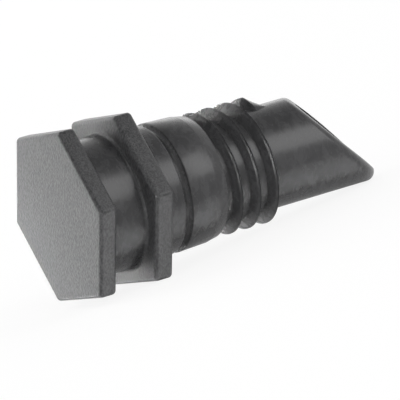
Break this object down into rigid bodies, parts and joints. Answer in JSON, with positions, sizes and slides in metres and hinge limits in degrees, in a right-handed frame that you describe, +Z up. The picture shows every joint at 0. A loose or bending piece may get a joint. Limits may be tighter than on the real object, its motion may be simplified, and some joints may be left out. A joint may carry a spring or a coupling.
{
  "type": "tube end plug",
  "caption": "Screw-in end plug for a small irrigation pipe: hexagonal grip plates, round neck, collar, coarse outside thread and a hollow tip with a slanted mouth.",
  "frame": {"origin": "middle of the footprint of the lying plug, on the floor", "axes": "+X along the plug from the head towards the tip, +Z up, +Y across; the plug's own axis dips 6.7 degrees towards the tip"},
  "size_m": [0.0392, 0.0206, 0.0188],
  "materials": {
    "body": "satin, fine grain"
  },
  "bodies": {
    "root": {"end_plug": "body"}
  },
  "joints": []
}
